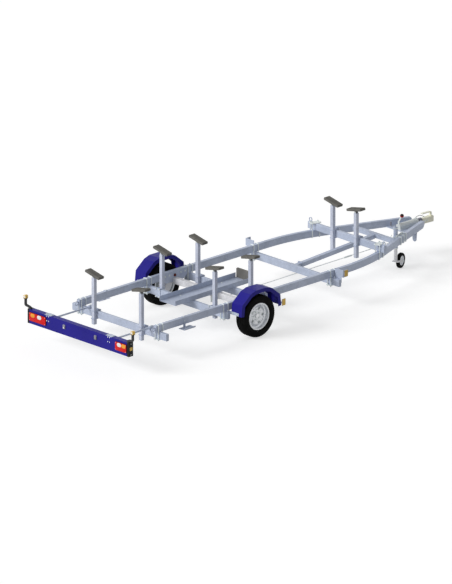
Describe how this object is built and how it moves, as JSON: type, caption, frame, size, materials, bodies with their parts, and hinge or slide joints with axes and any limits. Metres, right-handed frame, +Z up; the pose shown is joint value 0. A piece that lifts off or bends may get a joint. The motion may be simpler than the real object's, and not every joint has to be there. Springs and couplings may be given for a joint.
{
  "type": "boat trailer",
  "caption": "Keelboat trailer: level rails bent in to the coupling, keel trough, tilting support pads on posts, pull-out light board and jockey wheel.",
  "frame": {"origin": "on the ground, midway along the overall length, on the centre line", "axes": "+X forward to the coupling, +Y to the left side, +Z up"},
  "size_m": [6.772, 2.154, 1.0786],
  "materials": {
    "galvanised": "hot-dip galvanised, dull spangle",
    "pale_zinc": "pale zinc plate and light primer",
    "blue_paint": "satin blue enamel",
    "wheel_silver": "silver wheel lacquer",
    "tyre_rubber": "matt black rubber",
    "black_rubber": "matt moulded rubber",
    "black_plastic": "matt moulded plastic",
    "pad_rubber": "brown-grey ribbed rubber",
    "red_lens": "clear moulded lens",
    "amber_lens": "clear moulded lens"
  },
  "bodies": {
    "chassis": {"axle_brackets": "galvanised", "axle_tube": "pale_zinc", "bellows": "black_rubber", "brake_rod": "galvanised", "breakaway_cable": "black_rubber", "centre_beam": "galvanised", "coupling_handle": "pale_zinc", "coupling_head": "pale_zinc", "crossbeams": "galvanised", "fenders": "blue_paint", "handbrake_lever": "black_plastic", "jockey_clamp": "pale_zinc", "jockey_outer_tube": "pale_zinc", "keel_stop": "pad_rubber", "keel_trough": "galvanised", "lashing_eyes": "galvanised", "overrun_bracket": "galvanised", "overrun_housing": "pale_zinc", "post_clamps": "pale_zinc", "rail_clamps": "pale_zinc", "rail_left": "galvanised", "rail_right": "galvanised", "rod_guides": "galvanised", "side_brackets": "galvanised", "side_reflectors": "amber_lens", "steps": "galvanised", "trailing_arms": "pale_zinc"},
    "wheel_left": {"hub_drum_left": "pale_zinc", "wheel_rim_left": "wheel_silver", "tyre_left": "tyre_rubber"},
    "wheel_right": {"hub_drum_right": "pale_zinc", "wheel_rim_right": "wheel_silver", "tyre_right": "tyre_rubber"},
    "light_board": {"light_board": "blue_paint", "board_end_caps": "black_plastic", "board_rods": "galvanised", "rear_lamps": "red_lens", "marker_arms": "black_rubber", "marker_lamps": "amber_lens"},
    "post_rear_left": {"post_rear_left": "galvanised"},
    "post_rear_right": {"post_rear_right": "galvanised"},
    "post_aft_left": {"post_aft_left": "galvanised"},
    "post_aft_right": {"post_aft_right": "galvanised"},
    "post_fore_left": {"post_fore_left": "galvanised"},
    "post_fore_right": {"post_fore_right": "galvanised"},
    "post_bow_left": {"post_bow_left": "galvanised"},
    "post_bow_right": {"post_bow_right": "galvanised"},
    "pad_rear_left": {"pad_rear_left": "pad_rubber"},
    "pad_rear_right": {"pad_rear_right": "pad_rubber"},
    "pad_aft_left": {"pad_aft_left": "pad_rubber"},
    "pad_aft_right": {"pad_aft_right": "pad_rubber"},
    "pad_fore_left": {"pad_fore_left": "pad_rubber"},
    "pad_fore_right": {"pad_fore_right": "pad_rubber"},
    "pad_bow_left": {"pad_bow_left": "pad_rubber"},
    "pad_bow_right": {"pad_bow_right": "pad_rubber"},
    "jockey_tube": {"jockey_inner_tube": "galvanised"},
    "jockey_fork": {"jockey_fork": "pale_zinc"},
    "jockey_roller": {"jockey_rim": "wheel_silver", "jockey_tyre": "tyre_rubber"}
  },
  "joints": [
    {"name": "wheel_left_spin", "type": "hinge", "parent": "chassis", "child": "wheel_left", "pos_m": [-0.92, 0.93, 0.298], "axis": [0, 1, 0], "continuous": true},
    {"name": "wheel_right_spin", "type": "hinge", "parent": "chassis", "child": "wheel_right", "pos_m": [-0.92, -0.93, 0.298], "axis": [0, 1, 0], "continuous": true},
    {"name": "light_board_slide", "type": "slide", "parent": "chassis", "child": "light_board", "axis": [1, 0, 0], "range_m": [0, 0.555]},
    {"name": "post_rear_left_slide", "type": "slide", "parent": "chassis", "child": "post_rear_left", "axis": [0, 0, 1], "range_m": [-0.1, 0.06]},
    {"name": "pad_rear_left_tilt", "type": "hinge", "parent": "post_rear_left", "child": "pad_rear_left", "pos_m": [-2.6253, 0.465, 0.91928], "axis": [1, 0, 0], "range_deg": [-37, 13]},
    {"name": "post_rear_right_slide", "type": "slide", "parent": "chassis", "child": "post_rear_right", "axis": [0, 0, 1], "range_m": [-0.1, 0.06]},
    {"name": "pad_rear_right_tilt", "type": "hinge", "parent": "post_rear_right", "child": "pad_rear_right", "pos_m": [-2.6253, -0.465, 0.91928], "axis": [1, 0, 0], "range_deg": [-13, 37]},
    {"name": "post_aft_left_slide", "type": "slide", "parent": "chassis", "child": "post_aft_left", "axis": [0, 0, 1], "range_m": [-0.1, 0.06]},
    {"name": "pad_aft_left_tilt", "type": "hinge", "parent": "post_aft_left", "child": "pad_aft_left", "pos_m": [-1.2897, 0.52, 0.92828], "axis": [1, 0, 0], "range_deg": [-37, 13]},
    {"name": "post_aft_right_slide", "type": "slide", "parent": "chassis", "child": "post_aft_right", "axis": [0, 0, 1], "range_m": [-0.1, 0.06]},
    {"name": "pad_aft_right_tilt", "type": "hinge", "parent": "post_aft_right", "child": "pad_aft_right", "pos_m": [-1.2897, -0.52, 0.92828], "axis": [1, 0, 0], "range_deg": [-13, 37]},
    {"name": "post_fore_left_slide", "type": "slide", "parent": "chassis", "child": "post_fore_left", "axis": [0, 0, 1], "range_m": [-0.1, 0.06]},
    {"name": "pad_fore_left_tilt", "type": "hinge", "parent": "post_fore_left", "child": "pad_fore_left", "pos_m": [-0.6103, 0.52, 0.92728], "axis": [1, 0, 0], "range_deg": [-37, 13]},
    {"name": "post_fore_right_slide", "type": "slide", "parent": "chassis", "child": "post_fore_right", "axis": [0, 0, 1], "range_m": [-0.1, 0.06]},
    {"name": "pad_fore_right_tilt", "type": "hinge", "parent": "post_fore_right", "child": "pad_fore_right", "pos_m": [-0.6103, -0.52, 0.92728], "axis": [1, 0, 0], "range_deg": [-13, 37]},
    {"name": "post_bow_left_slide", "type": "slide", "parent": "chassis", "child": "post_bow_left", "axis": [0, 0, 1], "range_m": [-0.1, 0.06]},
    {"name": "pad_bow_left_tilt", "type": "hinge", "parent": "post_bow_left", "child": "pad_bow_left", "pos_m": [1.6847, 0.23, 0.99928], "axis": [1, 0, 0], "range_deg": [-37, 13]},
    {"name": "post_bow_right_slide", "type": "slide", "parent": "chassis", "child": "post_bow_right", "axis": [0, 0, 1], "range_m": [-0.1, 0.06]},
    {"name": "pad_bow_right_tilt", "type": "hinge", "parent": "post_bow_right", "child": "pad_bow_right", "pos_m": [1.6847, -0.23, 0.99928], "axis": [1, 0, 0], "range_deg": [-13, 37]},
    {"name": "jockey_lift", "type": "slide", "parent": "chassis", "child": "jockey_tube", "axis": [0, 0, 1], "range_m": [-0.06, 0.12]},
    {"name": "jockey_swivel", "type": "hinge", "parent": "jockey_tube", "child": "jockey_fork", "pos_m": [2.355, -0.32008, 0.2], "axis": [0, 0, 1], "continuous": true},
    {"name": "jockey_roll", "type": "hinge", "parent": "jockey_fork", "child": "jockey_roller", "pos_m": [2.50883, -0.26041, 0.108], "axis": [-0.3616, 0.9323, 0], "continuous": true}
  ]
}
